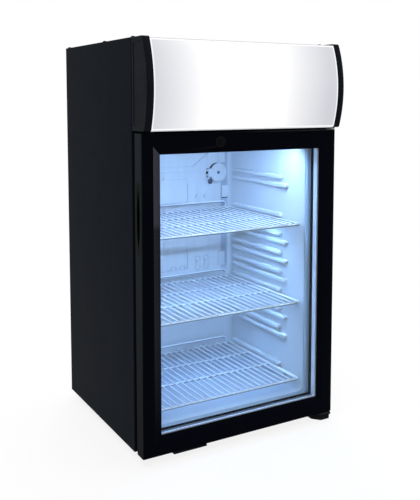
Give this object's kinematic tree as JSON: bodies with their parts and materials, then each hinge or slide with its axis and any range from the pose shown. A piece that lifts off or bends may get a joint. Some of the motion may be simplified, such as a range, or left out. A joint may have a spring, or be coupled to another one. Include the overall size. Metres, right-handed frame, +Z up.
{
  "type": "countertop display refrigerator",
  "caption": "Black countertop display refrigerator with a glazed hinged door, wire shelves and a curved lit canopy over a steel cabinet.",
  "frame": {"origin": "on the counter, under the middle of the whole part", "axes": "+X to the viewer's right facing the door, +Y towards the back, +Z up"},
  "size_m": [0.43, 0.4121, 0.7778],
  "materials": {
    "black_steel": "satin",
    "black_frame": "gloss",
    "black_plastic": "satin",
    "white_plastic": "satin",
    "white_steel": "satin",
    "lit_panel": "satin",
    "foam": "matte",
    "raw_aluminium": "satin",
    "copper": "satin",
    "bright_steel": "satin",
    "coated_wire": "gloss",
    "clear_glass": "polished",
    "black_rubber": "matte",
    "grey_rubber": "matte",
    "black_iron": "satin"
  },
  "bodies": {
    "cabinet": {"side_panel_left": "black_steel", "side_panel_right": "black_steel", "top_cover": "black_steel", "back_panel": "black_steel", "base_pan": "black_steel", "machine_deck": "black_steel", "foam_insulation": "foam", "inner_liner": "white_plastic", "evaporator_plate": "raw_aluminium", "evaporator_clips": "white_plastic", "tube_cover": "white_plastic", "lamp_housing": "white_plastic", "lamp_lens": "lit_panel", "canopy_tray": "white_steel", "canopy_panel": "lit_panel", "canopy_cap_left": "black_plastic", "canopy_cap_right": "black_plastic", "canopy_bottom_rail": "raw_aluminium", "canopy_lamp": "lit_panel", "compressor": "black_iron", "compressor_grommets": "black_rubber", "condenser_fins": "raw_aluminium", "condenser_tube": "copper", "fan_shroud": "bright_steel", "fan_motor": "bright_steel", "filter_drier": "copper", "discharge_line": "copper", "suction_line": "copper", "capillary_tube": "copper", "rear_grille": "black_steel", "thermostat_body": "black_plastic", "switch_body": "black_plastic", "cord_gland": "black_plastic", "upper_hinge_bracket": "black_steel", "lower_hinge_bracket": "black_steel", "hinge_cap": "black_plastic", "feet": "black_rubber", "door_rest_plate": "black_steel", "cover_screws": "black_steel"},
    "door": {"door_rail_top": "black_frame", "door_rail_bottom": "black_frame", "door_stile_left": "black_frame", "door_stile_right": "black_frame", "outer_pane": "clear_glass", "inner_pane": "clear_glass", "spacer_bar": "raw_aluminium", "door_gasket": "grey_rubber", "handle_insert": "black_plastic", "hinge_bushes": "black_plastic", "lock_barrel": "black_steel"},
    "lock": {"lock_plug": "black_steel"},
    "fan": {"fan_blade": "black_plastic"},
    "thermostat_dial": {"thermostat_knob": "black_plastic"},
    "light_rocker": {"switch_rocker": "black_plastic"},
    "lower_shelf": {"shelf_lower": "coated_wire", "shelf_lower_guard": "coated_wire"},
    "middle_shelf": {"shelf_middle": "coated_wire", "shelf_middle_guard": "coated_wire"},
    "upper_shelf": {"shelf_upper": "coated_wire", "shelf_upper_guard": "coated_wire"}
  },
  "joints": [
    {"name": "door_swing", "type": "hinge", "parent": "cabinet", "child": "door", "pos_m": [0.192, -0.169, 0.015], "axis": [0, 0, 1], "range_deg": [0, 115]},
    {"name": "lock_turn", "type": "hinge", "parent": "door", "child": "lock", "pos_m": [-0.055, -0.171, 0.588], "axis": [0, 1, 0], "range_deg": [0, 90]},
    {"name": "fan_spin", "type": "hinge", "parent": "cabinet", "child": "fan", "pos_m": [-0.13, 0.129, 0.693], "axis": [0, 1, 0], "continuous": true},
    {"name": "thermostat_turn", "type": "hinge", "parent": "cabinet", "child": "thermostat_dial", "pos_m": [0.178, 0.193, 0.733], "axis": [0, 1, 0], "range_deg": [0, 270]},
    {"name": "light_switch_rock", "type": "hinge", "parent": "cabinet", "child": "light_rocker", "pos_m": [0.178, 0.193, 0.677], "axis": [1, 0, 0], "range_deg": [0, 10]},
    {"name": "lower_shelf_slide", "type": "slide", "parent": "cabinet", "child": "lower_shelf", "axis": [0, -1, 0], "range_m": [0, 0.012]},
    {"name": "middle_shelf_slide", "type": "slide", "parent": "cabinet", "child": "middle_shelf", "axis": [0, -1, 0], "range_m": [0, 0.012]},
    {"name": "upper_shelf_slide", "type": "slide", "parent": "cabinet", "child": "upper_shelf", "axis": [0, -1, 0], "range_m": [0, 0.012]}
  ]
}
